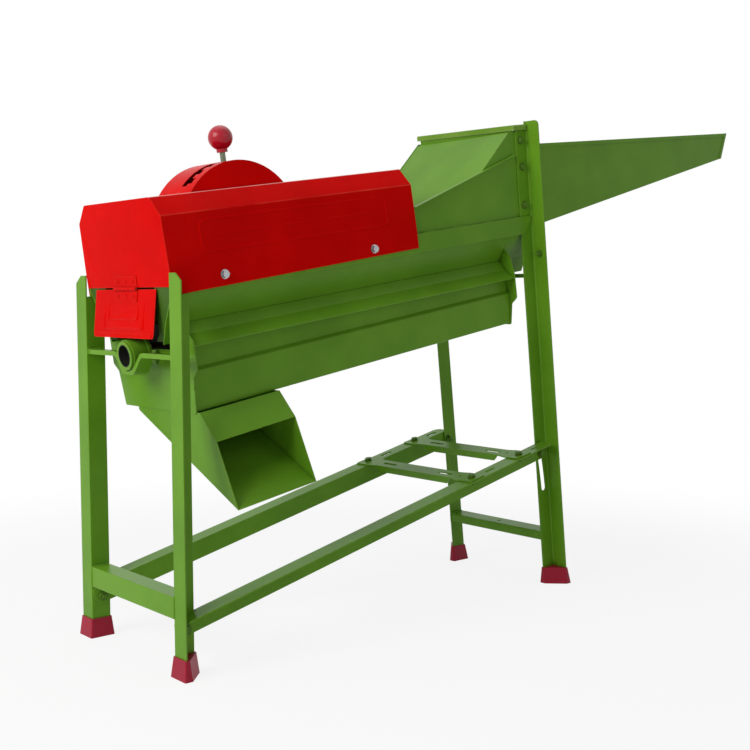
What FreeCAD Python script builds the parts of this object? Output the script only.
import FreeCAD, Part
import math
import os

# Threshing machine: an inclined drum housing on four angle-iron legs.
# X runs along the machine towards the feed tray, Y across it, Z up.
# The body is drawn in its own upright frame (u along the drum, w square to it)
# and then leaned by body_tilt_deg about Y.

# Angles
body_tilt_deg = 8.55
leg_lean_deg = 6.03
motor_slope_deg = 13.4
chute_tilt_deg = 2.2

# Clearances and general sheet values
seat_gap = 0.05
slip_gap = 0.1
running_gap = 0.05
hole_gap = 0.3
overrun = 25.0
sheet = 1.4
bend = 2.0
edge_round = 1.2

# Angle iron
angle_flange = 40.0
angle_thick = 3.0
angle_root = 4.0
leg_top_round = 11.0

# Left legs
left_plane = 160.0
left_leg_rise = 153.56
left_leg_top_across = 20.0
left_leg_top_drop = 15.0
crossbar_left_bottom = 106.0

# Right legs
right_foot_x = 1065.0
right_leg_drop = 11.57
right_bar_top = 130.5
right_bar_lip = 20.0

# Foot caps
cap_wall = 2.5
cap_height = 38.0
cap_flare = 4.0
cap_floor = 3.0
cap_round = 3.0

# Upper side rails
rail_bottom_rise = 109.0
rail_height = 40.0
rail_thick = 3.0
rail_flange = 28.0
rail_right = 1084.0
rail_right_low = 1055.0
rail_mitre_stop_rise = 137.5
rail_flange_right = 1040.0

# Drum axis and casing
axis_w = 573.0
screen_radius = 80.0
screen_bar = 6.0
screen_hoop_width = 4.0
screen_hoop_height = 5.0
screen_bar_count = 13
screen_hoop_count = 6
screen_edge_thick = 2.0
screen_edge_deg = 9.0
casing_thick = 2.0
casing_step_rise = 19.0
casing_top_rise = 141.0
casing_bend_rise = 117.0
casing_bend_y = 150.0
casing_seam_y = 116.0
casing_seam_rise = 55.0
jamb_top_y = 94.0
jamb_low_y = 74.0
jamb_middle_y = 88.0
jamb_middle_rise = 39.0
jamb_low_rise = 24.0

# Side skirt bands
skirt_fold_y = 131.0
skirt_fold_rise = 33.0
skirt_lip_y = 157.0
skirt_lip_rise = 13.5

# Trough
trough_left = 142.0
trough_right = 1010.0
trough_recess_y = 130.0
trough_ledge_y = 137.0
trough_low_y = 129.0
trough_shoulder = 7.0
trough_ledge_left_drop = 36.0
trough_ledge_right_drop = 22.0
trough_floor_left_drop = 113.0
trough_floor_right_drop = 92.0
trough_window_left = 150.0
trough_window_right = 318.0
trough_window_y = 78.0

# End plates of the housing
end_plate_thick = 2.0
end_plate_half = 158.0
end_plate_step_y = 150.0
end_plate_slant_y = 141.0
end_plate_step_drop = 32.0
end_plate_notch_drop = 39.0
end_plate_low_drop = 46.0
end_plate_rim = 3.0
end_plate_corner = 4.0
end_plate_curve = 40.0
end_plate_band = 8.0
end_plate_left_top_rise = 108.0
end_plate_right_top_rise = 111.0
end_plate_sill_rise = 4.0
end_plate_shaft_notch = 20.0
end_plate_horn_rise = 82.0
end_plate_brow_y = 149.0
end_plate_brow_rise = 62.0
end_wing_low_rise = 18.8
end_wing_right = 1100.0

# Kernel chute
chute_left = 142.0
chute_right = 326.0
chute_back_y = 86.0
chute_back_drop = 124.0
chute_top_y = 133.0
chute_top_drop = 103.0
chute_brow_y = 181.0
chute_brow_drop = 165.0
chute_tip_y = 215.0
chute_tip_drop = 292.0

# Bearings and shaft
shaft_radius = 15.0
shaft_left = 98.0
shaft_right = 1120.0
shaft_chamfer = 1.5
pulley_seat_radius = 14.0
pulley_seat_length = 40.0
key_width = 8.0
key_depth = 4.0
key_length = 30.0
housing_radius = 30.0
housing_collar = 34.0
housing_bore = 20.0
housing_length = 42.0
housing_lip = 5.0
housing_lip_step = 2.5
housing_collar_width = 6.0
housing_left = 82.0
housing_right = 1036.0
bearing_width = 15.0
bearing_setback = 17.0
strap_thick = 9.0
strap_depth = 30.0
strap_left_x = 3.5
strap_right_x = 951.0
strap_drop = 5.2
strap_right_lift = 12.0
strap_dip_half = 50.0
strap_dip_foot = 20.0
strap_bend = 8.0
strap_bolt_y = 78.0

# Drum
drum_tube_radius = 50.0
drum_tube_thick = 4.0
drum_left = 156.0
drum_right = 1000.0
drum_disc_thick = 5.0
drum_disc_inset = 8.0
tooth_tip = 74.0
tooth_width = 9.0
tooth_chamfer = 2.0
tooth_rows = 3
teeth_per_row = 13
tooth_first = 176.0
tooth_last = 860.0
tooth_sweep_deg = 320.0
flight_left = 872.0
flight_right = 988.0
flight_thick = 4.0
flight_turn_deg = 400.0
flight_steps = 40

# Top cover
cover_left = 111.5
cover_right = 720.0
cover_sheet = 1.2
cover_top_rise = 288.0
cover_top_half = 125.0
cover_shoulder_rise = 253.0
cover_shoulder_half = 156.0
cover_bottom_left_rise = 110.0
cover_bottom_right_rise = 119.0
cover_end_bottom_rise = 126.0
cover_bend = 4.0
cover_window = 92.0
cover_window_half = 52.0
cover_bolt_left = 226.0
cover_bolt_right = 594.7
cover_bolt_rise = 133.0

# Notched quadrant and gate lever
gate_u = 351.5
gate_rise = 199.5
dome_radius = 142.0
dome_half = 60.0
dome_sheet = 2.0
dome_slot_half = 9.0
dome_slot_y = -20.0
dome_slot_reach_deg = 44.0
dome_notch_depth = 12.0
dome_notch_width = 15.0
dome_notch_count = 8
lever_radius = 5.5
knob_reach = 188.5
knob_radius = 24.4
knob_neck_radius = 11.0
knob_neck_reach = 160.0
spindle_radius = 7.0
spindle_half = 148.0
hub_radius = 13.0
hub_half = 14.0
gate_thick = 3.0
gate_half = 124.0
gate_drop = 104.0
gate_bush_radius = 15.0
gate_bush_inner = 138.0
gate_bush_flange = 21.0

# Outlet flap with its butt hinge
flap_pin_rise = 124.2
flap_height = 92.5
flap_top_drop = 1.0
flap_half = 115.0
flap_centre_y = 11.0
flap_open_deg = 5.0
flap_sheet = 1.2
flap_lip = 9.0
flap_corner = 8.0
hinge_half = 42.0
hinge_centre_y = 4.0
hinge_leaf = 24.0
hinge_leaf_thick = 1.5
hinge_pin_radius = 2.0
hinge_barrel_radius = 3.6
hinge_knuckles = 5
hinge_knuckle_gap = 0.3

# Hopper
hopper_sheet = 1.4
hopper_right = 1098.0
hopper_edge_left_share = 0.2683
hopper_trim_right = 1049.0
hopper_trim_right_share = 0.6827
hopper_trim_width = 9.0
hopper_trim_thick = 2.0
hopper_trim_left = 723.0
hood_slope_deg = 38.5
hood_top_gap = 5.0
hood_lip_gap = 0.8
hood_right = 1044.0
hopper_edge_lift = 3.4
deck_left = 721.5
deck_lip = 8.0
roof_left = 1052.0
roof_right = 1119.0
roof_top_rise = 357.0
roof_rim = 12.0
roof_half = 160.0
roof_sheet = 2.0
roof_cross_rise = 8.0
roof_outer_right = 1095.0

# Feed tray
tray_sheet = 1.4
tray_floor_left = 1013.0
tray_wall_left = 1062.0
tray_floor_start_rise = 112.4
tray_floor_end_u = 1895.8
tray_floor_end_rise = 219.0
tray_tip_u = 1931.0
tray_tip_rise = 285.4
tray_top_left_rise = 312.0
tray_hem = 9.0
tray_hem_thick = 1.6
tray_hem_left = 1106.0

# Motor frame
motor_base_z = 64.0
motor_rail_height = 40.0
motor_rail_flange = 40.0
motor_rail_left = 8.0
motor_rail_right = 1050.0
motor_flange_left = 18.0
motor_end_round = 16.0
motor_notch_clear = 3.0
motor_spacer_radius = 12.0
pivot_along = 25.0
pivot_above = 14.0
tension_along = 1034.0
tension_above = 14.0
tension_half_width = 7.4
motor_swing_deg = 4.5
motor_slot_spare_deg = 0.45
motor_strap_first = 783.0
motor_strap_second = 942.0
motor_strap_width = 46.0
motor_strap_thick = 3.0
motor_strap_lip = 16.0
motor_strap_lip_half = 128.0
motor_strap_waist = 36.0
motor_strap_end_inset = 3.0
motor_strap_taper_half = 152.0
motor_strap_slot_y = 95.0
motor_strap_slot_length = 46.0
motor_strap_slot_width = 9.0
motor_strap_hole_radius = 3.5
motor_strap_hole_y = 141.0
rail_slot_shift = 60.0
rail_slot_length = 32.0

# Bolts
bolt_radius = 4.0
bolt_head = 6.5
bolt_head_height = 5.5
bolt_nut_height = 6.5
bolt_washer_radius = 9.0
bolt_washer_thick = 1.4
bolt_tail = 4.0
pivot_bolt_radius = 5.0
pivot_bolt_head = 8.0
hopper_bolt_along = (1075.0, 1073.0, 1069.0)
hopper_bolt_shares = (0.8317, 0.5433, 0.125)
leg_nut_z = 788.0
leg_nut_across = 22.0

# Front-left foot, whose sole is the origin of the part
cap_side = angle_flange + 2.0 * cap_wall
sole_x = cap_side / 3.0 - cap_wall
sole_y = left_plane + cap_side / 3.0 - cap_wall

tilt = math.radians(body_tilt_deg)
lean = math.radians(leg_lean_deg)
slope = math.radians(motor_slope_deg)
tiny = 1e-6

# Levels of the leaned body, worked out from the drum's axis
rail_bottom = axis_w + rail_bottom_rise
rail_mitre_stop = axis_w + rail_mitre_stop_rise
casing_step_w = axis_w + casing_step_rise
casing_top = axis_w + casing_top_rise
casing_bend_w = axis_w + casing_bend_rise
casing_seam_w = axis_w + casing_seam_rise
skirt_fold_w = axis_w + skirt_fold_rise
skirt_lip_w = axis_w + skirt_lip_rise
trough_ledge_left_w = axis_w - trough_ledge_left_drop
trough_ledge_right_w = axis_w - trough_ledge_right_drop
trough_floor_left_w = axis_w - trough_floor_left_drop
trough_floor_right_w = axis_w - trough_floor_right_drop
end_plate_step_w = axis_w - end_plate_step_drop
end_plate_notch_w = axis_w - end_plate_notch_drop
end_plate_low_w = axis_w - end_plate_low_drop
end_plate_left_top_w = axis_w + end_plate_left_top_rise
end_plate_right_top_w = axis_w + end_plate_right_top_rise
end_plate_sill_w = axis_w + end_plate_sill_rise
end_plate_horn_w = axis_w + end_plate_horn_rise
end_plate_brow_w = axis_w + end_plate_brow_rise
end_wing_low_w = axis_w + end_wing_low_rise
chute_back_w = axis_w - chute_back_drop
chute_top_w = axis_w - chute_top_drop
chute_brow_w = axis_w - chute_brow_drop
chute_tip_w = axis_w - chute_tip_drop
cover_top_w = axis_w + cover_top_rise
cover_shoulder_w = axis_w + cover_shoulder_rise
cover_bottom_left_w = axis_w + cover_bottom_left_rise
cover_bottom_right_w = axis_w + cover_bottom_right_rise
cover_end_bottom_w = axis_w + cover_end_bottom_rise
cover_bolt_w = axis_w + cover_bolt_rise
gate_w = axis_w + gate_rise
flap_pin_w = axis_w + flap_pin_rise
roof_top_w = axis_w + roof_top_rise
tray_floor_start_w = axis_w + tray_floor_start_rise
tray_floor_end_w = axis_w + tray_floor_end_rise
tray_tip_w = axis_w + tray_tip_rise
tray_top_left_w = axis_w + tray_top_left_rise
rail_top = rail_bottom + rail_height
hopper_height = roof_top_w - rail_top
hopper_edge_left_w = rail_top + hopper_height * hopper_edge_left_share
hopper_trim_right_w = rail_top + hopper_height * hopper_trim_right_share
left_leg_top = axis_w / math.cos(tilt) + left_leg_rise
hopper_bolt_places = [(u, rail_top + hopper_height * share)
                      for u, share in zip(hopper_bolt_along, hopper_bolt_shares)]
right_leg_top = (roof_top_w + right_foot_x * math.sin(tilt)) / math.cos(tilt) - right_leg_drop

# Layers across the machine, worked out from the left legs inwards
cover_outer = left_plane - slip_gap
rail_outer = cover_outer - cover_sheet - slip_gap
rail_inner = rail_outer - rail_thick
cover_upright_w = rail_bottom + rail_height + bend
right_plane = rail_inner - slip_gap - angle_thick
hopper_outer = right_plane - slip_gap
hopper_inner = hopper_outer - hopper_sheet
tray_outer = hopper_inner - slip_gap
motor_rail_outer = left_plane - slip_gap
motor_rail_inner = motor_rail_outer - angle_thick


def vec(x, y, z):
    return FreeCAD.Vector(x, y, z)


def spot(plane, first, second, depth):
    """Point from two outline coordinates and the depth square to the outline."""
    if plane == "xz":
        return vec(first, depth, second)
    if plane == "yz":
        return vec(depth, first, second)
    return vec(first, second, depth)


def outline_face(plane, depth, points, radii=None):
    """Flat face with one rounding radius for each corner."""
    corners = [spot(plane, a, b, depth) for a, b in points]
    radii = radii or [0.0] * len(corners)
    count = len(corners)
    joints = []
    for index, corner in enumerate(corners):
        back = (corners[index - 1] - corner).normalize()
        ahead = (corners[(index + 1) % count] - corner).normalize()
        radius = radii[index]
        if radius > 0:
            half = back.getAngle(ahead) / 2.0
            reach = radius / math.tan(half)
            centre = corner + (back + ahead).normalize() * (radius / math.sin(half))
            middle = centre + (corner - centre).normalize() * radius
            joints.append((corner + back * reach, middle, corner + ahead * reach))
        else:
            joints.append((corner, None, corner))
    edges = []
    for index, (start, middle, end) in enumerate(joints):
        if middle is not None:
            edges.append(Part.Arc(start, middle, end).toShape())
        following = joints[(index + 1) % count][0]
        if (following - end).Length > tiny:
            edges.append(Part.makeLine(end, following))
    return Part.Face(Part.Wire(edges))


def prism(plane, points, start, end, radii=None):
    """Outline run out from one depth to another."""
    face = outline_face(plane, start, points, radii)
    return face.extrude(spot(plane, 0.0, 0.0, end - start))


def box(x_pair, y_pair, z_pair):
    size = [abs(pair[1] - pair[0]) for pair in (x_pair, y_pair, z_pair)]
    return Part.makeBox(size[0], size[1], size[2], vec(min(x_pair), min(y_pair), min(z_pair)))


def strip_outline(points, thick, inner_bend):
    """Outline and corner radii of a folded strip; the thickness lies left of the line."""
    last = len(points) - 1
    second = []
    first_radii = []
    second_radii = []
    for index, (a, b) in enumerate(points):
        steps = []
        for other in (index, index + 1):
            if 0 < other <= last:
                da = points[other][0] - points[other - 1][0]
                db = points[other][1] - points[other - 1][1]
                size = math.hypot(da, db)
                steps.append((da / size, db / size))
        if len(steps) == 1:
            da, db = steps[0]
            second.append((a - db * thick, b + da * thick))
            first_radii.append(0.0)
            second_radii.append(0.0)
            continue
        (ia, ib), (oa, ob) = steps
        shared = 1.0 + ia * oa + ib * ob
        second.append((a - (ib + ob) / shared * thick, b + (ia + oa) / shared * thick))
        turn = ia * ob - ib * oa
        first_radii.append(inner_bend + thick if turn > 0 else inner_bend)
        second_radii.append(inner_bend if turn > 0 else inner_bend + thick)
    return list(points) + second[::-1], first_radii + second_radii[::-1]


def strip(plane, points, thick, start, end, inner_bend=bend):
    """Folded sheet strip running square to its outline."""
    loop, radii = strip_outline(points, thick, inner_bend)
    return prism(plane, loop, start, end, radii)


def rod(start, end, radius):
    run = end - start
    return Part.makeCylinder(radius, run.Length, start, run)


def mirrored(shape):
    """The same piece on the other side of the middle plane."""
    return shape.mirror(vec(0, 0, 0), vec(0, 1, 0))


def turned(shape, angle_deg, centre=None):
    """Copy turned about a line along Y; a positive angle lifts the +X side."""
    copy = shape.copy()
    copy.rotate(centre or vec(0, 0, 0), vec(0, 1, 0), -angle_deg)
    return copy


def tilted(shape):
    """Piece of the body moved from its upright frame to its leaning place."""
    return turned(shape, body_tilt_deg)


def body_point(u, y, w):
    return vec(u * math.cos(tilt) - w * math.sin(tilt), y, u * math.sin(tilt) + w * math.cos(tilt))


def joined(pieces):
    whole = pieces[0].multiFuse(pieces[1:]) if len(pieces) > 1 else pieces[0]
    return whole.removeSplitter()


def corner_cut(plane, corner, outward, radius, start, end):
    """Cutter that rounds an outer corner of a plate."""
    (a, b), (oa, ob) = corner, outward
    near_a = a - oa * radius
    near_b = b - ob * radius
    block = prism(plane, ((near_a, near_b), (a + oa * overrun, near_b),
                          (a + oa * overrun, b + ob * overrun), (near_a, b + ob * overrun)), start, end)
    along = spot(plane, 0.0, 0.0, end - start)
    return block.cut(Part.makeCylinder(radius, abs(end - start), spot(plane, near_a, near_b, start), along))


def slot_cutter(plane, centre, length, width, start, end, upright=False):
    """Round-ended slot; its length lies along the first outline axis unless it is upright."""
    a, b = centre
    half_a = width / 2.0 if upright else length / 2.0
    half_b = length / 2.0 if upright else width / 2.0
    points = ((a - half_a, b - half_b), (a + half_a, b - half_b),
              (a + half_a, b + half_b), (a - half_a, b + half_b))
    return prism(plane, points, start, end, [width / 2.0] * 4)


def hexagon(centre, axis, across, height):
    """Hexagonal head or nut standing on a point."""
    radius = across / math.sqrt(3.0)
    side = axis.cross(vec(0, 0, 1))
    if side.Length < tiny:
        side = vec(1, 0, 0)
    side.normalize()
    up = axis.cross(side)
    turns = [math.radians(60.0 * step) for step in range(6)]
    points = [centre + side * (radius * math.cos(t)) + up * (radius * math.sin(t)) for t in turns]
    face = Part.Face(Part.makePolygon(points + points[:1]))
    return face.extrude(axis * height)


def bolt(under_head, axis, grip, radius=bolt_radius, across=None):
    """Bolt with head, washer and nut as one clamped piece; the axis runs from head to nut."""
    across = across or 2.0 * bolt_head
    axis = FreeCAD.Vector(axis)
    axis.normalize()
    share = radius / bolt_radius
    washer = bolt_washer_thick
    head_seat = under_head - axis * (washer + seat_gap)
    nut_seat = under_head + axis * (grip + seat_gap)
    pieces = [rod(head_seat, nut_seat + axis * ((bolt_nut_height + bolt_tail) * share), radius),
              rod(head_seat, head_seat + axis * washer, bolt_washer_radius * share),
              hexagon(head_seat, axis * -1.0, across, bolt_head_height * share),
              hexagon(nut_seat, axis, across, bolt_nut_height * share)]
    return joined(pieces)


def bolt_hole(point, axis, radius=bolt_radius):
    axis = FreeCAD.Vector(axis)
    axis.normalize()
    return rod(point - axis * overrun, point + axis * overrun, radius + hole_gap)


def arc_slot(centre, reach, half_width, low, high, start, end):
    """Slot bent about a point of the XZ plane; the angles are counted from +X."""
    def at(radius, angle):
        return vec(centre.x + radius * math.cos(angle), start, centre.z + radius * math.sin(angle))

    cap = half_width / reach
    middle = (low + high) / 2.0
    near = reach - half_width
    far = reach + half_width
    rounds = ((at(near, low), at(near, middle), at(near, high)),
              (at(near, high), at(reach, high + cap), at(far, high)),
              (at(far, high), at(far, middle), at(far, low)),
              (at(far, low), at(reach, low - cap), at(near, low)))
    wire = Part.Wire([Part.Arc(*points).toShape() for points in rounds])
    return Part.Face(wire).extrude(vec(0, end - start, 0))


def angle_outline(corner, toward, flanges=(angle_flange, angle_flange), thick=angle_thick):
    """Angle section from its outer corner; each flange runs the way its sign says."""
    (a, b), (ta, tb), (fa, fb) = corner, toward, flanges
    points = ((a, b), (a + ta * fa, b), (a + ta * fa, b + tb * thick),
              (a + ta * thick, b + tb * thick), (a + ta * thick, b + tb * fb), (a, b + tb * fb))
    return points, (edge_round, 0.0, edge_round, angle_root, edge_round, 0.0)


# Places shared by several pieces

def leg_shift(z):
    """How far the right legs have leaned over at a height."""
    return z * math.tan(lean)


def motor_point(along, y, above):
    """World point of a place on the motor frame."""
    return vec(along * math.cos(slope) - above * math.sin(slope), y,
               motor_base_z + along * math.sin(slope) + above * math.cos(slope))


def motor_placed(shape):
    return turned(shape, motor_slope_deg, vec(0, 0, motor_base_z))


def trough_floor_w(u):
    share = (u - trough_left) / (trough_right - trough_left)
    return trough_floor_left_w + (trough_floor_right_w - trough_floor_left_w) * share


def cover_half(w):
    """Half width of the cover's outside: upright along the rail, leaning in above it."""
    share = max(0.0, (w - cover_upright_w) / (cover_shoulder_w - cover_upright_w))
    return cover_outer - (cover_outer - cover_shoulder_half) * share


def tray_floor_w(u):
    share = (u - tray_floor_left) / (tray_floor_end_u - tray_floor_left)
    return tray_floor_start_w + (tray_floor_end_w - tray_floor_start_w) * share


def hood_w(u):
    """Level of the hood plate's lower face."""
    return roof_top_w - roof_rim - hood_top_gap - (hood_right - u) * math.tan(math.radians(hood_slope_deg))


def roof_w(y):
    """Level of the roof's upper face, a little higher at the back."""
    return roof_top_w + roof_cross_rise * (y + roof_half) / (2.0 * roof_half)


# Under frame

def left_leg():
    points, radii = angle_outline((0.0, left_plane), (1.0, 1.0))
    leg = prism("xy", points, cap_floor + seat_gap, left_leg_top, radii)
    near = left_plane - overrun
    far = left_plane + angle_flange + overrun
    bevel = ((far - overrun, left_leg_top - left_leg_top_drop),
             (far - overrun - left_leg_top_across, left_leg_top), (far, left_leg_top + overrun), (far, left_leg_top))
    leg = leg.cut(prism("yz", bevel, -overrun, angle_flange))
    low = cover_bottom_left_w - seat_gap
    covered = tilted(box((cover_left - overrun, cover_left + 2.0 * angle_flange), (near, far), (low, cover_top_w)))
    leg = leg.cut(covered.common(box((angle_thick, far), (near, far), (0.0, left_leg_top + overrun))))
    pivot = motor_point(pivot_along, left_plane, pivot_above)
    return leg.cut(bolt_hole(pivot, vec(0, 1, 0), pivot_bolt_radius))


def tension_angles():
    """Reach of the tension bolt from the pivot and the ends of its travel."""
    pivot = motor_point(pivot_along, 0.0, pivot_above)
    tension = motor_point(tension_along, 0.0, tension_above)
    run = tension - pivot
    rest = math.atan2(run.z, run.x)
    spare = math.radians(motor_slot_spare_deg)
    return pivot, run.Length, rest - math.radians(motor_swing_deg) - spare, rest + spare


def right_leg(side):
    """Leaning leg; its inner flange stops under the roof. The side is 1 at the back and -1 at the front."""
    foot = cap_floor + seat_gap
    points, radii = angle_outline((right_foot_x - leg_shift(foot), right_plane), (-1.0, 1.0))
    height = right_leg_top - foot
    leg = outline_face("xy", foot, points, radii).extrude(vec(-leg_shift(height), 0, height))
    corner_x = right_foot_x - leg_shift(right_leg_top)
    near = right_plane - overrun
    far = right_plane + angle_flange + overrun
    leg = leg.cut(corner_cut("xz", (corner_x - angle_flange, right_leg_top), (-1.0, 1.0),
                             leg_top_round, near, far))
    leg = leg.cut(corner_cut("yz", (right_plane + angle_flange, right_leg_top), (1.0, 1.0),
                             leg_top_round, corner_x - angle_flange, corner_x + overrun))
    pivot, reach, low, high = tension_angles()
    leg = leg.cut(arc_slot(pivot, reach, tension_half_width, low, high, near, far))
    for u, w in hopper_bolt_places:
        leg = leg.cut(bolt_hole(body_point(u, right_plane, w), vec(0, 1, 0)))
    head, axis = leg_bolt_place()
    leg = leg.cut(bolt_hole(head, axis))
    web_top = roof_w(side * right_plane) - roof_sheet - slip_gap
    room = box((roof_left - angle_flange, roof_outer_right + slip_gap), (near, roof_half + slip_gap),
               (web_top, web_top + 2.0 * overrun))
    return leg.cut(tilted(room))


def leg_bolt_place():
    """Seat and direction of the bolt through the outward flange of a right leg."""
    axis = vec(math.cos(lean), 0, math.sin(lean))
    return vec(right_foot_x - leg_shift(leg_nut_z), right_plane + leg_nut_across, leg_nut_z), axis * -1.0


def cap_outline(corner, toward, wall):
    a, b = corner
    far = angle_flange + wall
    near = angle_thick + wall
    return ((a - toward * wall, b - wall), (a + toward * far, b - wall), (a + toward * far, b + near),
            (a + toward * near, b + far), (a - toward * wall, b + far))


def foot_cap(corner, toward, lean_share):
    """Three-cornered rubber shoe, wider at the sole, with a pocket for the angle iron."""
    radii = [cap_round] * 5
    a, b = corner
    top_a = a - lean_share * leg_shift(cap_height)
    sole = outline_face("xy", 0.0, cap_outline((a, b), toward, cap_wall + cap_flare), radii)
    rim = outline_face("xy", cap_height, cap_outline((top_a, b), toward, cap_wall), radii)
    shoe = Part.makeLoft([sole.OuterWire, rim.OuterWire], True, True)
    pocket_a = a - lean_share * leg_shift(cap_floor)
    gap = slip_gap
    size = angle_flange + 2.0 * gap
    points = angle_outline((pocket_a - toward * gap, b - gap), (toward, 1.0),
                           (size, size), angle_thick + 2.0 * gap)[0]
    rise = cap_height + overrun
    radii = [angle_root - gap if index == 3 else 0.0 for index in range(len(points))]
    pocket = outline_face("xy", cap_floor, points, radii).extrude(vec(-lean_share * leg_shift(rise), 0, rise))
    return shoe.cut(pocket)


def left_crossbar():
    top = crossbar_left_bottom + angle_flange
    points, radii = angle_outline((0.0, top), (1.0, -1.0))
    end = left_plane - slip_gap
    return prism("xz", points, -end, end, radii)


def right_crossbar():
    """Folded bar drawn against an upright leg, then leaned with it."""
    points = ((right_foot_x, right_bar_top), (right_foot_x - angle_flange, right_bar_top),
              (right_foot_x - angle_flange, right_bar_top - right_bar_lip))
    end = right_plane - slip_gap
    bar = strip("xz", points, angle_thick, -end, end)
    hole = rod(vec(right_foot_x - angle_flange / 2.0, 0, right_bar_top - overrun),
               vec(right_foot_x - angle_flange / 2.0, 0, right_bar_top + overrun), bolt_radius)
    return turned(bar.cut(hole), leg_lean_deg, vec(right_foot_x, 0, 0))


def side_rail():
    top = rail_bottom + rail_height
    left = cover_left + cover_sheet + slip_gap
    web = prism("xz", ((left, rail_bottom), (rail_right_low, rail_bottom), (rail_right, rail_mitre_stop),
                       (rail_right, top), (left, top)), rail_inner, rail_outer)
    flange = box((left, rail_flange_right), (rail_outer - rail_flange, rail_outer), (top - rail_thick, top))
    rail = joined([web, flange])
    for u in (cover_bolt_left, cover_bolt_right):
        rail = rail.cut(bolt_hole(vec(u, rail_inner, cover_bolt_w), vec(0, 1, 0)))
    return tilted(rail)


# Drum housing

def casing_line():
    """Outside line of a casing wall from the screen's edge up to the side rail."""
    outer = screen_radius + casing_thick
    rise = casing_seam_w - axis_w
    reach = math.hypot(casing_seam_y, rise)
    angle = math.atan2(rise, casing_seam_y) - math.acos(outer / reach)
    start = (outer * math.cos(angle), axis_w + outer * math.sin(angle))
    bend_y = rail_inner - slip_gap
    return (start, (casing_seam_y, casing_seam_w), (bend_y, casing_bend_w), (bend_y, casing_top)), angle


def casing_wall():
    left = cover_left + cover_sheet + slip_gap
    wall = strip("yz", casing_line()[0], casing_thick, left, trough_right - slip_gap)
    inside = trough_left + slip_gap
    wall = wall.cut(box((left - overrun, inside), (0.0, left_plane), (axis_w - screen_radius, casing_step_w)))
    for u in (cover_bolt_left, cover_bolt_right):
        wall = wall.cut(bolt_hole(vec(u, rail_inner, cover_bolt_w), vec(0, 1, 0)))
    return tilted(wall)


def outlet_jambs():
    """Narrow plates set in the casing's left end, one each side of the cob outlet."""
    line = casing_line()[0]
    low = axis_w + jamb_low_rise
    middle = [(y - casing_thick / 2.0, w) for y, w in line]
    outline = [(jamb_low_y, low)] + middle + [(jamb_top_y, casing_top),
                                              (jamb_middle_y, axis_w + jamb_middle_rise)]
    left = cover_left + cover_sheet + slip_gap + casing_thick / 2.0
    plate = prism("yz", outline, left, left + casing_thick)
    plate = plate.cut(strip("yz", line, casing_thick + seat_gap, left - overrun, left + overrun))
    plate = tilted(plate.common(box((left, left + casing_thick), (0.0, left_plane), (low, casing_top))))
    return Part.makeCompound([plate, mirrored(plate)])


def screen_sector(inner, outer, low, high, start, end):
    """Arched band about the drum axis between two angles below it."""
    def at(radius, angle):
        return vec(start, radius * math.cos(angle), axis_w + radius * math.sin(angle))

    middle = (low + high) / 2.0
    edges = [Part.Arc(at(outer, low), at(outer, middle), at(outer, high)).toShape(),
             Part.makeLine(at(outer, high), at(inner, high)),
             Part.Arc(at(inner, high), at(inner, middle), at(inner, low)).toShape(),
             Part.makeLine(at(inner, low), at(outer, low))]
    return Part.Face(Part.Wire(edges)).extrude(vec(end - start, 0, 0))


def concave_screen():
    """Half-round grid of bars that the drum rubs the cobs against."""
    high = casing_line()[1] - slip_gap / screen_radius
    low = -math.pi - high
    band = math.radians(screen_edge_deg)
    outer = screen_radius + screen_bar / 2.0 + screen_hoop_height
    left = trough_left + slip_gap
    right = trough_right - slip_gap
    pieces = []
    for start, end in ((high - band, high), (low, low + band)):
        pieces.append(screen_sector(screen_radius, screen_radius + screen_edge_thick, start, end,
                                    left, right))
    spacing = (right - left - screen_hoop_width) / (screen_hoop_count - 1)
    for index in range(screen_hoop_count):
        start = left + spacing * index
        edge = index in (0, screen_hoop_count - 1)
        inner = screen_radius if edge else screen_radius + screen_bar / 2.0
        pieces.append(screen_sector(inner, outer, low, high, start, start + screen_hoop_width))
        if not edge:
            for begin, finish in ((high - band, high), (low, low + band)):
                pieces.append(screen_sector(screen_radius + screen_edge_thick / 2.0, outer, begin, finish,
                                            start, start + screen_hoop_width))
    centre = screen_radius + screen_bar / 2.0
    for index in range(screen_bar_count):
        angle_here = low + band + (high - low - 2.0 * band) * (index + 0.5) / screen_bar_count
        y = centre * math.cos(angle_here)
        w = axis_w + centre * math.sin(angle_here)
        inset = screen_hoop_width / 2.0
        pieces.append(rod(vec(left + inset, y, w), vec(right - inset, y, w), screen_bar / 2.0))
    return tilted(pieces[0].multiFuse(pieces[1:]))


def skirt_w(y):
    """Level of the skirt's upper face at a distance from the middle plane."""
    if y < skirt_fold_y:
        share = (y - casing_seam_y) / (skirt_fold_y - casing_seam_y)
        return casing_seam_w + (skirt_fold_w - casing_seam_w) * share
    share = (y - skirt_fold_y) / (skirt_lip_y - skirt_fold_y)
    return skirt_fold_w + (skirt_lip_w - skirt_fold_w) * share


def side_skirt():
    stop_y = casing_seam_y + casing_thick / 3.0 + slip_gap
    line = ((skirt_lip_y, skirt_lip_w), (skirt_fold_y, skirt_fold_w), (stop_y, skirt_w(stop_y)))
    return tilted(strip("yz", line, casing_thick, trough_left + slip_gap, trough_right - slip_gap))


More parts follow.
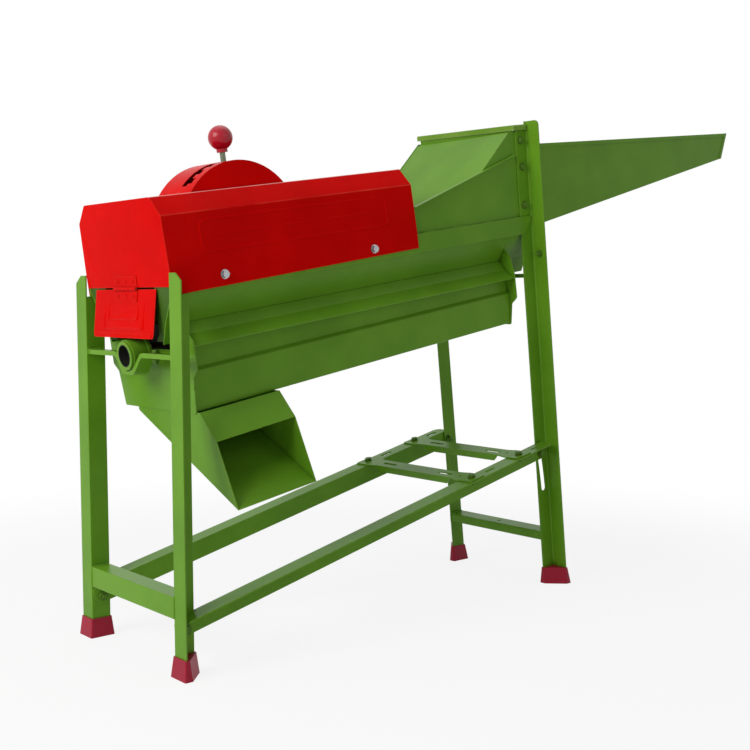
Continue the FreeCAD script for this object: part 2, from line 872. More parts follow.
def trough_section(u, ledge_w):
    run = math.hypot(skirt_fold_y - casing_seam_y, skirt_fold_w - casing_seam_w)
    drop = casing_thick * run / (skirt_fold_y - casing_seam_y)
    top = skirt_w(trough_recess_y) - drop - slip_gap
    floor = trough_floor_w(u)
    half = ((trough_recess_y, top), (trough_recess_y, ledge_w + trough_shoulder), (trough_ledge_y, ledge_w),
            (trough_low_y, floor))
    line = [(-y, w) for y, w in half] + list(half[::-1])
    loop, radii = strip_outline(line, sheet, bend)
    return outline_face("yz", u, loop, radii).OuterWire


def trough():
    left = trough_section(trough_left + slip_gap, trough_ledge_left_w)
    right = trough_section(trough_right - slip_gap, trough_ledge_right_w)
    tray = Part.makeLoft([left, right], True, True)
    window = box((trough_window_left, trough_window_right), (-trough_window_y, trough_window_y),
                 (trough_floor_left_w - overrun, trough_floor_right_w + overrun))
    return tilted(tray.cut(window))


def end_plate_outline(u, upper, upper_radii):
    """Outline of an end plate below its own upper corners, with one radius for each corner."""
    rim = end_plate_rim
    half = list(upper) + [(end_plate_half, skirt_lip_w + end_plate_band), (end_plate_half, end_plate_step_w),
                          (end_plate_step_y, end_plate_notch_w), (end_plate_slant_y, end_plate_low_w),
                          (trough_low_y + rim, trough_floor_w(u) - rim)]
    radii = list(upper_radii) + [end_plate_corner, end_plate_corner, end_plate_corner / 2.0,
                                 end_plate_corner, end_plate_corner]
    return [(-y, w) for y, w in half] + half[::-1], radii + radii[::-1]


def left_end_plate():
    """Stepped plate with the cob outlet above its sill."""
    upper = ((casing_bend_y + end_plate_rim, end_plate_left_top_w),
             (casing_seam_y + end_plate_band, casing_seam_w))
    points, radii = end_plate_outline(trough_left, upper, (end_plate_corner, end_plate_curve))
    plate = prism("yz", points, trough_left - end_plate_thick, trough_left, radii)
    (start_y, start_w), (seam_y, seam_w), (bend_y, bend_w) = casing_line()[0][:3]
    share = (end_plate_sill_w - start_w) / (seam_w - start_w)
    sill_y = start_y + (seam_y - start_y) * share
    half = ((sill_y + hole_gap, end_plate_sill_w), (seam_y + hole_gap, seam_w),
            (bend_y + hole_gap, bend_w + hole_gap))
    outlet = prism("yz", [(-y, w) for y, w in half] + list(half[::-1]),
                   trough_left - overrun, trough_left + overrun)
    notch = rod(vec(trough_left - overrun, 0, axis_w), vec(trough_left + overrun, 0, axis_w),
                end_plate_shaft_notch)
    return tilted(plate.cut(outlet).cut(notch))


def casing_y(w):
    """Distance of the casing's outside from the middle plane at a level of its slanting part."""
    seam, bend_corner = casing_line()[0][1:3]
    return seam[0] + (bend_corner[0] - seam[0]) * (w - seam[1]) / (bend_corner[1] - seam[1])


def end_wing():
    """Slanting side wall that carries the casing on past the right leg, above the bearing strap."""
    wing = strip("yz", casing_line()[0][:3], casing_thick, trough_right, end_wing_right)
    return wing.common(box((trough_right, end_wing_right), (0.0, right_plane - slip_gap),
                           (end_wing_low_w, tray_floor_start_w - slip_gap)))


def right_end_plate():
    """End plate whose upper part lies flush with the casing, with a wing on each side."""
    upper = ((casing_y(end_plate_right_top_w), end_plate_right_top_w),
             (casing_y(end_plate_horn_w), end_plate_horn_w), (end_plate_brow_y, end_plate_brow_w))
    points, radii = end_plate_outline(trough_right, upper, (0.0, 0.0, 2.0 * end_plate_corner))
    plate = prism("yz", points, trough_right, trough_right + end_plate_thick, radii)
    wing = end_wing()
    plate = joined([plate, wing, mirrored(wing)])
    hole = rod(vec(trough_right - overrun, 0, axis_w), vec(trough_right + overrun, 0, axis_w),
               shaft_radius + casing_thick)
    return tilted(plate.cut(hole))


def kernel_chute():
    """Side spout under the trough, open towards the front."""
    high = chute_top_w + overrun
    side = ((chute_back_y, high), (-chute_top_y, high), (-chute_top_y, chute_top_w),
            (-chute_brow_y, chute_brow_w), (-chute_tip_y, chute_tip_w), (chute_back_y, chute_back_w))
    pieces = [prism("yz", side, chute_left, chute_left + sheet),
              prism("yz", side, chute_right - sheet, chute_right)]
    floor = ((-chute_tip_y, chute_tip_w), (chute_back_y, chute_back_w), (chute_back_y, high))
    brow = ((-chute_top_y, high), (-chute_top_y, chute_top_w), (-chute_brow_y, chute_brow_w))
    pieces += [strip("yz", line, sheet, chute_left, chute_right) for line in (floor, brow)]
    chute = turned(joined(pieces), chute_tilt_deg, vec(chute_left, 0, trough_floor_left_w))
    ends = (chute_left - overrun, chute_right + overrun)
    above = high + 2.0 * overrun
    roof = prism("xz", ((ends[0], trough_floor_w(ends[0]) - slip_gap),
                        (ends[1], trough_floor_w(ends[1]) - slip_gap),
                        (ends[1], above), (ends[0], above)), -chute_tip_y, chute_tip_y)
    return tilted(chute.cut(roof))


# Bearings and drum

def along_axis(start, end, radius):
    """Round bar on the drum axis in the upright body frame."""
    return rod(vec(start, 0, axis_w), vec(end, 0, axis_w), radius)


def bearing_housing(left, collar_first):
    """Bored tube with a stepped front lip and a collar at its inner end."""
    right = left + housing_length
    collar = (left, left + housing_collar_width) if collar_first else (right - housing_collar_width, right)
    main = (left, right - housing_lip) if collar_first else (left + housing_lip, right)
    body = joined([along_axis(left, right, housing_radius - housing_lip_step),
                   along_axis(main[0], main[1], housing_radius),
                   along_axis(collar[0], collar[1], housing_collar)])
    bore = along_axis(left - overrun, right + overrun, housing_bore)
    centre = vec((left + right) / 2.0, 0, axis_w)
    oil_hole = rod(centre, centre + vec(0, 0, housing_collar), bolt_radius / 2.0)
    return tilted(body.cut(bore).cut(oil_hole))


def bearing_ring(left):
    ring = along_axis(left, left + bearing_width, housing_bore - running_gap)
    return tilted(ring.cut(along_axis(left - overrun, left + bearing_width + overrun, shaft_radius + running_gap)))


def strap_bottom(x_start):
    """Level of the drum axis over a strap and of the strap's straight ends."""
    middle = x_start + strap_depth / 2.0
    axis_z = (axis_w + middle * math.sin(tilt)) / math.cos(tilt)
    return axis_z, axis_z - strap_drop


def bearing_strap(x_start, half_span, lift):
    """Flat bar across two legs, dipping under the bearing tube; the lift raises its straight ends."""
    axis_z, bottom_z = strap_bottom(x_start)
    bottom_z += lift
    dip_z = axis_z - housing_radius - strap_thick
    half = ((half_span, bottom_z), (strap_dip_half, bottom_z), (strap_dip_foot, dip_z))
    line = [(-y, z) for y, z in half] + list(half[::-1])
    bar = strip("yz", line, strap_thick, x_start, x_start + strap_depth, strap_bend)
    room = tilted(along_axis(0.0, shaft_right, housing_radius + seat_gap))
    return bar.cut(room)


def left_strap():
    bar = bearing_strap(strap_left_x, left_plane - slip_gap, 0.0)
    return bar.cut(bolt_hole(strap_bolt_place(), vec(0, 0, 1)))


def strap_bolt_place():
    bottom_z = strap_bottom(strap_left_x)[1]
    return vec(strap_left_x + strap_depth / 2.0, -strap_bolt_y, bottom_z + strap_thick)


def drum_shaft():
    """Shaft with a turned-down pulley seat and keyway at its right end."""
    step = shaft_right - pulley_seat_length
    shaft = joined([along_axis(shaft_left, step, shaft_radius),
                    along_axis(step - overrun, shaft_right, pulley_seat_radius)])
    ends = [edge for edge in shaft.Edges if len(edge.Vertexes) == 1 and
            min(abs(edge.CenterOfMass.x - shaft_left), abs(edge.CenterOfMass.x - shaft_right)) < tiny]
    shaft = shaft.makeChamfer(shaft_chamfer, ends)
    top = axis_w + pulley_seat_radius
    keyway = box((shaft_right - key_length, shaft_right + overrun), (-key_width / 2.0, key_width / 2.0),
                 (top - key_depth, top + overrun))
    return tilted(shaft.cut(keyway))


def drum_tube():
    tube = along_axis(drum_left, drum_right, drum_tube_radius)
    return tilted(tube.cut(along_axis(drum_left - overrun, drum_right + overrun,
                                      drum_tube_radius - drum_tube_thick)))


def drum_disc(left):
    disc = along_axis(left, left + drum_disc_thick, drum_tube_radius - drum_tube_thick - seat_gap)
    return tilted(disc.cut(along_axis(left - overrun, left + overrun, shaft_radius + seat_gap)))


def drum_teeth():
    """Rows of welded teeth that wind round the drum and walk the cobs along."""
    half = tooth_width / 2.0
    low = axis_w + drum_tube_radius + seat_gap
    high = axis_w + tooth_tip
    outline = ((-half, low), (half, low), (half, high - tooth_chamfer), (half - tooth_chamfer, high),
               (tooth_chamfer - half, high), (-half, high - tooth_chamfer))
    tooth = prism("xz", outline, -half, half)
    pitch = (tooth_last - tooth_first) / (teeth_per_row - 1)
    teeth = []
    for row in range(tooth_rows):
        for index in range(teeth_per_row):
            share = (index + row / tooth_rows) / teeth_per_row
            copy = tooth.copy()
            copy.rotate(vec(0, 0, axis_w), vec(1, 0, 0), row * 360.0 / tooth_rows + tooth_sweep_deg * share)
            copy.translate(vec(tooth_first + pitch * (index + row / tooth_rows), 0, 0))
            teeth.append(tilted(copy))
    return Part.makeCompound(teeth)


def feed_flight():
    """Screw flight under the hopper that draws the cobs in."""
    step = math.radians(flight_turn_deg) / flight_steps
    inner = (drum_tube_radius + seat_gap) / math.cos(step / 2.0)
    wires = []
    for index in range(flight_steps + 1):
        angle = step * index
        u = flight_left + (flight_right - flight_left) * index / flight_steps
        corners = []
        for du, radius in ((0.0, inner), (flight_thick, inner), (flight_thick, tooth_tip), (0.0, tooth_tip)):
            corners.append(vec(u + du, radius * math.cos(angle), axis_w + radius * math.sin(angle)))
        wires.append(Part.makePolygon(corners + corners[:1]))
    return tilted(Part.makeLoft(wires, True, True))


# Top cover with its gate

def cover_outline(inset, low_w):
    """Cross-section of the cover, moved in by an inset, down to a level."""
    levels = [low_w, cover_upright_w] if low_w < cover_upright_w else [low_w]
    half = [(cover_half(w) - inset, w) for w in levels]
    half += [(cover_shoulder_half - inset, cover_shoulder_w), (cover_top_half - inset / 2.0, cover_top_w - inset)]
    return half + [(-y, w) for y, w in half[::-1]]


def cover_end(left, low_w):
    outline = cover_outline(slip_gap / 2.0, low_w)
    half_radii = [0.0] * (len(outline) // 2 - 2) + [cover_bend, cover_bend]
    return prism("yz", outline, left, left + cover_sheet, half_radii + half_radii[::-1])


def top_cover():
    """Folded red cover with both ends closed and a window under the quadrant."""
    wrap = strip("yz", cover_outline(0.0, cover_bottom_left_w), cover_sheet, cover_left, cover_right, cover_bend)
    low = cover_bottom_left_w - overrun
    trim = prism("xz", ((cover_left - overrun, low), (cover_right, low), (cover_right, cover_bottom_right_w),
                        (cover_left - overrun, cover_bottom_left_w)), -left_plane, left_plane)
    cover = joined([wrap.cut(trim), cover_end(cover_left, cover_end_bottom_w),
                    cover_end(cover_right - cover_sheet, deck_top_w() + slip_gap)])
    window = box((gate_u - cover_window, gate_u + cover_window), (-cover_window_half, cover_window_half),
                 (cover_top_w - overrun, cover_top_w + overrun))
    cover = cover.cut(window)
    for u in (cover_bolt_left, cover_bolt_right):
        for y in (-cover_outer, cover_outer):
            cover = cover.cut(bolt_hole(vec(u, y, cover_bolt_w), vec(0, 1, 0)))
    return tilted(cover)


def notched_quadrant():
    """Arched guide on the cover; the gate lever stands in its slot and notches."""
    seat = cover_top_w + seat_gap
    line_a = vec(gate_u, -dome_half, gate_w)
    line_b = vec(gate_u, dome_half, gate_w)
    outer = rod(line_a, line_b, dome_radius)
    inner = rod(line_a + vec(0, dome_sheet, 0), line_b - vec(0, dome_sheet, 0), dome_radius - dome_sheet)
    far = dome_radius + overrun
    below = box((gate_u - far, gate_u + far), (-dome_half - overrun, dome_half + overrun), (gate_w - far, seat))
    dome = outer.cut(inner).cut(below)
    reach = math.radians(dome_slot_reach_deg)
    edge = (far * math.sin(reach), far * math.cos(reach))
    sector = ((gate_u, gate_w), (gate_u + edge[0], gate_w + edge[1]), (gate_u, gate_w + 2.0 * far),
              (gate_u - edge[0], gate_w + edge[1]))
    dome = dome.cut(prism("xz", sector, dome_slot_y - dome_slot_half, dome_slot_y + dome_slot_half))
    notch = box((gate_u - dome_notch_width / 2.0, gate_u + dome_notch_width / 2.0),
                (dome_slot_y - dome_slot_half - dome_notch_depth, dome_slot_y),
                (gate_w + dome_radius / 2.0, gate_w + far))
    for index in range(dome_notch_count):
        turn = dome_slot_reach_deg * (2.0 * (index + 0.5) / dome_notch_count - 1.0)
        dome = dome.cut(turned(notch, turn, vec(gate_u, 0, gate_w)))
    return tilted(dome)


def gate_lever():
    """Lever rod and its hub, standing square to the body."""
    hub = rod(vec(gate_u, dome_slot_y - hub_half, gate_w), vec(gate_u, dome_slot_y + hub_half, gate_w), hub_radius)
    bar = rod(vec(gate_u, dome_slot_y, gate_w),
              vec(gate_u, dome_slot_y, gate_w + knob_neck_reach + knob_neck_radius), lever_radius)
    bore = rod(vec(gate_u, dome_slot_y - overrun, gate_w), vec(gate_u, dome_slot_y + overrun, gate_w),
               spindle_radius + seat_gap)
    return tilted(joined([hub, bar]).cut(bore))


def lever_knob():
    centre = vec(gate_u, dome_slot_y, gate_w + knob_reach)
    foot = vec(gate_u, dome_slot_y, gate_w + knob_neck_reach)
    knob = joined([Part.makeSphere(knob_radius, centre), rod(foot, centre, knob_neck_radius)])
    top = gate_w + knob_neck_reach + knob_neck_radius
    pocket = rod(foot - vec(0, 0, overrun), vec(gate_u, dome_slot_y, top + seat_gap), lever_radius + seat_gap)
    return tilted(knob.cut(pocket))


def gate_spindle():
    return tilted(rod(vec(gate_u, -spindle_half, gate_w), vec(gate_u, spindle_half, gate_w), spindle_radius))


def gate_plate():
    top = gate_w - spindle_radius - seat_gap
    low = gate_w - gate_drop
    radii = (leg_top_round, leg_top_round, edge_round, edge_round)
    outline = ((-gate_half, low), (gate_half, low), (gate_half, top), (-gate_half, top))
    plate = prism("yz", outline, gate_u - gate_thick / 2.0, gate_u + gate_thick / 2.0, radii)
    reach = hub_half + slip_gap
    room = rod(vec(gate_u, dome_slot_y - reach, gate_w), vec(gate_u, dome_slot_y + reach, gate_w),
               hub_radius + seat_gap)
    return tilted(plate.cut(room))


def gate_bush():
    """Flanged ring inside a cover wall that carries one end of the spindle."""
    ring = rod(vec(gate_u, gate_bush_inner, gate_w), vec(gate_u, left_plane, gate_w), gate_bush_radius)
    flange_start = cover_half(gate_w) - cover_sheet - casing_thick
    flange = rod(vec(gate_u, flange_start, gate_w), vec(gate_u, left_plane, gate_w), gate_bush_flange)
    bore = rod(vec(gate_u, gate_bush_inner - overrun, gate_w), vec(gate_u, left_plane + overrun, gate_w),
               spindle_radius + running_gap)
    room = prism("yz", cover_outline(cover_sheet + slip_gap, rail_bottom), cover_left, cover_right)
    return tilted(joined([ring, flange]).cut(bore).common(room))


# Outlet flap

def flap_pin():
    """World place of the hinge pin in the middle plane."""
    return body_point(cover_left - seat_gap - hinge_barrel_radius, 0.0, flap_pin_w)


def knuckles(upper):
    """Alternate hinge knuckles about a pin at the origin, and the room for the others."""
    pitch = 2.0 * hinge_half / hinge_knuckles
    own, other = [], []
    for index in range(hinge_knuckles):
        start = -hinge_half + pitch * index
        if (index % 2 == 0) == upper:
            own.append(rod(vec(0, start + hinge_knuckle_gap / 2.0, 0),
                           vec(0, start + pitch - hinge_knuckle_gap / 2.0, 0), hinge_barrel_radius))
        else:
            other.append(rod(vec(0, start - hinge_knuckle_gap / 2.0, 0),
                             vec(0, start + pitch + hinge_knuckle_gap / 2.0, 0),
                             hinge_barrel_radius + hinge_knuckle_gap))
    return own, other


def hinge_leaf_piece(upper):
    """Leaf and knuckles of the butt hinge; the leaf lies against the cover or the flap."""
    face = hinge_barrel_radius
    sign = 1.0 if upper else -1.0
    leaf = prism("yz", ((-hinge_half, 0.0), (hinge_half, 0.0), (hinge_half, sign * hinge_leaf),
                        (-hinge_half, sign * hinge_leaf)), face - hinge_leaf_thick, face,
                 (0.0, 0.0, hinge_leaf_thick, hinge_leaf_thick))
    own, other = knuckles(upper)
    piece = joined([leaf] + own)
    for room in other:
        piece = piece.cut(room)
    piece = piece.cut(rod(vec(0, -hinge_half - overrun, 0), vec(0, hinge_half + overrun, 0),
                          hinge_pin_radius + running_gap))
    return hinge_placed(piece, upper)


def hinge_placed(piece, upper):
    """Hinge piece moved from its pin-centred frame; one leaf leans with the cover, one with the flap."""
    pin = flap_pin()
    moved = turned(piece, body_tilt_deg if upper else -flap_open_deg)
    moved.translate(vec(pin.x, hinge_centre_y, pin.z))
    return moved


def hinge_pin_piece():
    reach = hinge_half + hinge_knuckle_gap
    return hinge_placed(rod(vec(0, -reach, 0), vec(0, reach, 0), hinge_pin_radius), False)


def outlet_flap():
    """Flap that hangs a little open, with a turned-out lip along its lower edge."""
    near = hinge_barrel_radius + seat_gap
    outline = ((-flap_half, -flap_height), (flap_half, -flap_height),
               (flap_half, -flap_top_drop), (-flap_half, -flap_top_drop))
    panel = prism("yz", outline, near, near + flap_sheet, (flap_corner, flap_corner, 0.0, 0.0))
    lip_half = flap_half - flap_corner
    lip = box((near - flap_sheet, near + flap_sheet), (-lip_half, lip_half),
              (-flap_height, flap_lip - flap_height))
    flap = turned(joined([panel, lip]), -flap_open_deg)
    pin = flap_pin()
    flap.translate(vec(pin.x, flap_centre_y, pin.z))
    return flap


# Hopper and feed tray

def deck_top_w():
    return rail_bottom + rail_height + seat_gap + hopper_sheet


def hopper_top_w():
    return roof_top_w - roof_sheet - seat_gap


def hopper_edge_w(u):
    """Level of the hopper side's sloping edge."""
    left = cover_right + slip_gap
    share = (u - left) / (hopper_trim_right - left)
    return hopper_edge_left_w + (hopper_trim_right_w - hopper_edge_left_w) * share


def hopper_side():
    """Side plate with a turned-out rim along its sloping edge."""
    left = cover_right + slip_gap
    low = rail_bottom + rail_height + seat_gap
    top = roof_top_w - roof_rim - slip_gap
    steep = math.tan(math.radians(hood_slope_deg))
    flat = (hopper_trim_right_w - hopper_edge_left_w) / (hopper_trim_right - left)
    meet = (hopper_edge_w(0.0) - hood_w(0.0) - hopper_edge_lift) / (steep - flat)
    summit = hood_right + (top - hood_w(hood_right) - hopper_edge_lift) / steep
    outline = ((left, low), (hopper_right, low), (hopper_right, top), (summit, top),
               (meet, hopper_edge_w(meet)), (left, hopper_edge_w(left)))
    plate = prism("xz", outline, hopper_inner, hopper_outer)
    rim = prism("xz", ((hopper_trim_left, hopper_edge_w(hopper_trim_left) - hopper_trim_thick),
                       (hopper_trim_right, hopper_trim_right_w - hopper_trim_thick),
                       (hopper_trim_right, hopper_trim_right_w),
                       (hopper_trim_left, hopper_edge_w(hopper_trim_left))),
                hopper_inner, hopper_outer + hopper_trim_width)
    side = joined([plate, rim])
    for u, w in hopper_bolt_places:
        side = side.cut(bolt_hole(vec(u, hopper_outer, w), vec(0, 1, 0)))
    return tilted(side)


def hood_foot():
    """Place along the body where the hood's lower face meets the deck's level."""
    return hood_right - (hood_w(hood_right) - deck_top_w()) / math.tan(math.radians(hood_slope_deg))


def hopper_hood():
    """Sloping plate that shuts the hopper to the left and turns up behind the roof's rim."""
    foot = hood_foot()
    rise = deck_top_w() + slip_gap
    half = hopper_inner - slip_gap
    lip_u = roof_left + roof_sheet + slip_gap + hopper_sheet
    under_roof = roof_sheet + slip_gap
    line = ((foot - deck_lip, rise), (foot, rise), (hood_right, hood_w(hood_right)),
            (lip_u, roof_top_w - roof_rim - hood_lip_gap - hopper_sheet), (lip_u, roof_w(half)))
    hood = strip("xz", line, hopper_sheet, -half, half)
    above = prism("yz", ((-half - overrun, roof_w(-half - overrun) - under_roof),
                         (half + overrun, roof_w(half + overrun) - under_roof),
                         (half + overrun, roof_top_w + overrun), (-half - overrun, roof_top_w + overrun)),
                  roof_left - overrun, roof_right)
    return tilted(hood.cut(above))


def hopper_deck():
    """Flat cover plate between the red cover and the hood, its left edge turned up."""
    low = rail_bottom + rail_height + seat_gap
    line = ((hood_foot(), low), (deck_left, low), (deck_left, low + deck_lip))
    half = hopper_inner - slip_gap
    reversed_line = line[::-1]
    return tilted(strip("xz", reversed_line, hopper_sheet, -half, half))


def hopper_roof():
    """Small folded lid over the inlet, with a tongue between the right legs."""
    front, back = roof_w(-roof_half), roof_w(roof_half)
    line = ((roof_half, back - roof_rim), (roof_half, back), (-roof_half, front), (-roof_half, front - roof_rim))
    shell = strip("yz", line, roof_sheet, roof_left, roof_outer_right)
    inset = roof_sheet / 2.0
    end = prism("yz", ((roof_half - inset, back - inset), (inset - roof_half, front - inset),
                       (inset - roof_half, front - roof_rim), (roof_half - inset, back - roof_rim)),
                roof_left, roof_left + roof_sheet)
    middle = ((hopper_inner, roof_w(hopper_inner)), (-hopper_inner, roof_w(-hopper_inner)))
    tongue = strip("yz", middle, roof_sheet, roof_outer_right - roof_sheet, roof_right)
    return tilted(joined([shell, end, tongue]))


def tray_top_w(u):
    share = (u - hopper_right) / (tray_tip_u - hopper_right)
    return tray_top_left_w + (tray_tip_w - tray_top_left_w) * share


def feed_tray():
    """Long trough with a flat floor; both walls lap into the hopper."""
    inner = tray_outer - tray_sheet
    top = hopper_top_w()
    floor = prism("xz", ((tray_floor_left, tray_floor_start_w), (tray_floor_end_u, tray_floor_end_w),
                         (tray_floor_end_u, tray_floor_end_w + tray_sheet),
                         (tray_floor_left, tray_floor_start_w + tray_sheet)), -tray_outer, tray_outer)
    side = ((tray_wall_left, tray_floor_w(tray_wall_left)), (tray_floor_end_u, tray_floor_end_w),
            (tray_tip_u, tray_tip_w), (hopper_right, tray_top_w(hopper_right)), (hopper_right, top),
            (tray_wall_left, top))
    wall = prism("xz", side, inner, tray_outer)
    hem_out = tray_outer + tray_hem_thick
    edge = (tray_tip_u - tray_floor_end_u, tray_tip_w - tray_floor_end_w)
    size = math.hypot(edge[0], edge[1])
    back = tray_hem * size / edge[1]
    top_hem = ((tray_hem_left, tray_top_w(tray_hem_left) - tray_hem), (tray_tip_u, tray_tip_w - tray_hem),
               (tray_tip_u, tray_tip_w), (tray_hem_left, tray_top_w(tray_hem_left)))
    end_hem = ((tray_floor_end_u - back, tray_floor_w(tray_floor_end_u - back)),
               (tray_floor_end_u, tray_floor_end_w),
               (tray_tip_u, tray_tip_w), (tray_tip_u - back, tray_top_w(tray_tip_u - back)))
    clip = prism("xz", side, inner, hem_out)
    hems = [prism("xz", loop, inner, hem_out).common(clip) for loop in (top_hem, end_hem)]
    wall = joined([wall] + hems)
    for u, w in hopper_bolt_places:
        wall = wall.cut(bolt_hole(vec(u, inner, w), vec(0, 1, 0)))
    return tilted(joined([floor, wall, mirrored(wall)]))


# Motor frame

def motor_rail():
    """Angle-iron rail whose level flange points outwards, notched round the left leg."""
    top = motor_base_z + motor_rail_height
    low = motor_base_z
    web = prism("xz", ((motor_rail_left, low), (motor_rail_right, low), (motor_rail_right, top),
                       (motor_rail_left, top)), motor_rail_inner, motor_rail_outer,
                (motor_end_round, motor_end_round, motor_end_round / 2.0, motor_end_round))
    outer_y = motor_rail_inner + motor_rail_flange
    flange_right = motor_rail_right - motor_end_round / 2.0
    flange = prism("xy", ((motor_flange_left, motor_rail_inner), (flange_right, motor_rail_inner),
                          (flange_right, outer_y), (motor_flange_left, outer_y)),
                   top - angle_thick, top, (0.0, 0.0, motor_end_round, bend))
    rail = joined([web, flange])
    clear = motor_notch_clear
    notch_right = (angle_flange + clear + motor_rail_height * math.sin(slope)) / math.cos(slope)
    notch = box((motor_rail_left - overrun, notch_right), (motor_rail_outer, left_plane + angle_thick + clear),
                (low, top + overrun))
    rail = rail.cut(notch)
    for along, above in ((pivot_along, pivot_above), (tension_along, tension_above)):
        rail = rail.cut(bolt_hole(vec(along, motor_rail_inner, low + above), vec(0, 1, 0), pivot_bolt_radius))
    middle = motor_rail_inner + motor_rail_flange / 2.0
    for along in (motor_strap_first, motor_strap_second):
        rail = rail.cut(bolt_hole(vec(along, middle, top), vec(0, 0, 1)))
        rail = rail.cut(slot_cutter("xy", (along + rail_slot_shift, middle), rail_slot_length,
                                    motor_strap_slot_width, top - overrun / 2.0, top + overrun))
    return motor_placed(rail)


def motor_strap(along):
    """Cross strap for the motor feet: flared ends, slots and a turned-down edge."""
    low = motor_base_z + motor_rail_height + seat_gap
    half = motor_strap_width / 2.0
    waist = motor_strap_waist / 2.0
    end = motor_rail_inner + motor_rail_flange - motor_strap_end_inset
    flare = motor_strap_taper_half
    straight = motor_strap_lip_half
    outline = ((along - half, -end), (along + half, -end), (along + half, -flare), (along + waist, -straight),
               (along + waist, straight), (along + half, flare), (along + half, end), (along - half, end),
               (along - half, flare), (along - waist, straight), (along - waist, -straight), (along - half, -flare))
    radii = (bend, bend, bend, bend, bend, bend, bend, bend, bend, 0.0, 0.0, bend)
    plate = prism("xy", outline, low, low + motor_strap_thick, radii)
    lip = prism("yz", ((-straight, low + motor_strap_thick), (straight, low + motor_strap_thick),
                       (straight - motor_strap_lip, low + motor_strap_thick - motor_strap_lip),
                       (motor_strap_lip - straight, low + motor_strap_thick - motor_strap_lip)),
                along - waist, along - waist + motor_strap_thick)
    strap = joined([plate, lip])
    middle = motor_rail_inner + motor_rail_flange / 2.0
    for sign in (-1.0, 1.0):
        strap = strap.cut(slot_cutter("xy", (along, sign * motor_strap_slot_y), motor_strap_slot_length,
                                      motor_strap_slot_width, low - overrun, low + overrun, True))
        strap = strap.cut(bolt_hole(vec(along, sign * middle, low), vec(0, 0, 1)))
    hole = vec(along, -motor_strap_hole_y, low)
    strap = strap.cut(rod(hole - vec(0, 0, overrun), hole + vec(0, 0, overrun), motor_strap_hole_radius))
    return motor_placed(strap)


# Bolts

def cover_bolts():
    """Bolts through the cover, the side rails and the casing walls."""
    bolts = []
    seat = cover_half(cover_bolt_w - bolt_washer_radius) + seat_gap
    grip = seat - (rail_inner - slip_gap - casing_thick)
    for u in (cover_bolt_left, cover_bolt_right):
        for sign in (-1.0, 1.0):
            piece = bolt(vec(u, sign * seat, cover_bolt_w), vec(0, -sign, 0), grip)
            bolts.append(tilted(piece))
    return Part.makeCompound(bolts)


def hopper_bolts():
    """Bolts that clamp the hopper sides and the tray to the right legs."""
    bolts = []
    seat = right_plane + angle_thick
    grip = seat - (tray_outer - tray_sheet)
    for u, w in hopper_bolt_places:
        for sign in (-1.0, 1.0):
            bolts.append(tilted(bolt(vec(u, sign * seat, w), vec(0, -sign, 0), grip)))
    return bolts


def leg_bolts():
    head, axis = leg_bolt_place()
    one = bolt(head, axis, angle_thick)
    return [one, mirrored(one)]


def pivot_bolts():
    """Pivots of the motor frame in the left legs."""
    seat = left_plane + angle_thick
    grip = seat - motor_rail_inner
    one = bolt(motor_point(pivot_along, seat, pivot_above), vec(0, -1, 0), grip, pivot_bolt_radius,
               2.0 * pivot_bolt_head)
    return [one, mirrored(one)]


def tension_bolts():
    """Belt-tension bolts that slide in the slots of the right legs."""
    seat = motor_rail_outer
    grip = seat - right_plane
    place = motor_point(tension_along, seat, tension_above)
    one = bolt(place, vec(0, -1, 0), grip, pivot_bolt_radius, 2.0 * pivot_bolt_head)
    start = motor_point(tension_along, right_plane + angle_thick + seat_gap, tension_above)
    end = motor_point(tension_along, motor_rail_inner - seat_gap, tension_above)
    spacer = rod(start, end, motor_spacer_radius)
    one = joined([one, spacer])
    return Part.makeCompound([one, mirrored(one)])


def strap_bolts():
    """Bolts through the motor straps and the rails' level flanges."""
    bolts = []
    middle = motor_rail_inner + motor_rail_flange / 2.0
    top = motor_rail_height + seat_gap + motor_strap_thick
    grip = top - motor_rail_height + angle_thick
    for along in (motor_strap_first, motor_strap_second):
        for sign in (-1.0, 1.0):
            piece = bolt(vec(along, sign * middle, motor_base_z + top), vec(0, 0, -1), grip)
            bolts.append(motor_placed(piece))
    return Part.makeCompound(bolts)


def bearing_bolt():
    return bolt(strap_bolt_place(), vec(0, 0, -1), strap_thick)


# All pieces, each under its own name; pieces in pairs are drawn at the back and mirrored

def paired(name, shape):
    return {name + "_back": shape, name + "_front": mirrored(shape)}


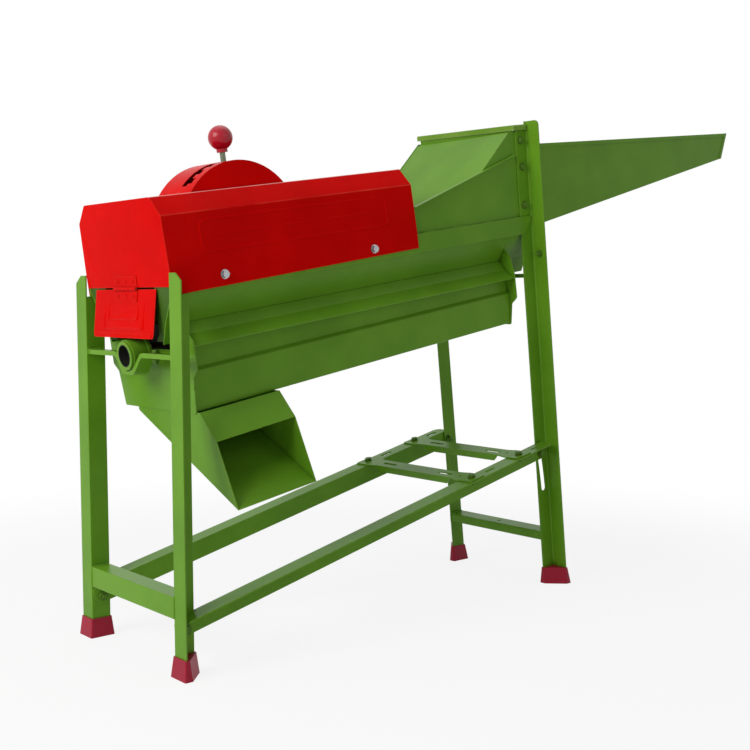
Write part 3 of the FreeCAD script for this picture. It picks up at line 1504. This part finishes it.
def all_pieces():
    pieces = {}
    pieces.update(paired("leg_left", left_leg()))
    pieces["leg_right_back"] = right_leg(1.0)
    pieces["leg_right_front"] = mirrored(right_leg(-1.0))
    pieces.update(paired("foot_cap_left", foot_cap((0.0, left_plane), 1.0, 0.0)))
    pieces.update(paired("foot_cap_right", foot_cap((right_foot_x, right_plane), -1.0, 1.0)))
    pieces["crossbar_left"] = left_crossbar()
    pieces["crossbar_right"] = right_crossbar()
    pieces.update(paired("side_rail", side_rail()))
    pieces.update(paired("casing_wall", casing_wall()))
    pieces["outlet_jambs"] = outlet_jambs()
    pieces.update(paired("side_skirt", side_skirt()))
    pieces["concave_screen"] = concave_screen()
    pieces["trough"] = trough()
    pieces["end_plate_left"] = left_end_plate()
    pieces["end_plate_right"] = right_end_plate()
    pieces["kernel_chute"] = kernel_chute()
    pieces["bearing_strap_left"] = left_strap()
    pieces["bearing_strap_right"] = bearing_strap(strap_right_x, right_plane - slip_gap, strap_right_lift)
    pieces["bearing_housing_left"] = bearing_housing(housing_left, False)
    pieces["bearing_housing_right"] = bearing_housing(housing_right, True)
    pieces["bearing_left"] = bearing_ring(housing_left + bearing_setback)
    pieces["bearing_right"] = bearing_ring(housing_right + housing_length - bearing_setback - bearing_width)
    pieces["drum_shaft"] = drum_shaft()
    pieces["drum_tube"] = drum_tube()
    pieces["drum_disc_left"] = drum_disc(drum_left + drum_disc_inset)
    pieces["drum_disc_right"] = drum_disc(drum_right - drum_disc_inset - drum_disc_thick)
    pieces["drum_teeth"] = drum_teeth()
    pieces["feed_flight"] = feed_flight()
    pieces["top_cover"] = top_cover()
    pieces["notched_quadrant"] = notched_quadrant()
    pieces["gate_lever"] = gate_lever()
    pieces["lever_knob"] = lever_knob()
    pieces["gate_spindle"] = gate_spindle()
    pieces["gate_plate"] = gate_plate()
    pieces.update(paired("gate_bush", gate_bush()))
    pieces["hinge_leaf_upper"] = hinge_leaf_piece(True)
    pieces["hinge_leaf_lower"] = hinge_leaf_piece(False)
    pieces["hinge_pin"] = hinge_pin_piece()
    pieces["outlet_flap"] = outlet_flap()
    pieces.update(paired("hopper_side", hopper_side()))
    pieces["hopper_hood"] = hopper_hood()
    pieces["hopper_deck"] = hopper_deck()
    pieces["hopper_roof"] = hopper_roof()
    pieces["feed_tray"] = feed_tray()
    pieces.update(paired("motor_rail", motor_rail()))
    pieces["motor_strap_first"] = motor_strap(motor_strap_first)
    pieces["motor_strap_second"] = motor_strap(motor_strap_second)
    pieces["cover_bolts"] = cover_bolts()
    pieces["frame_bolts"] = Part.makeCompound(hopper_bolts() + leg_bolts() + pivot_bolts() + [bearing_bolt()])
    pieces["tension_bolts"] = tension_bolts()
    pieces["strap_bolts"] = strap_bolts()
    return pieces


os.makedirs("parts", exist_ok=True)
datum = vec(-sole_x, sole_y, 0)
for name, shape in all_pieces().items():
    placed = shape.copy()
    placed.translate(datum)
    placed.exportStep("parts/" + name + ".step")
    print(name, len(placed.Solids), placed.isValid(), round(placed.Volume / 1000.0, 1))
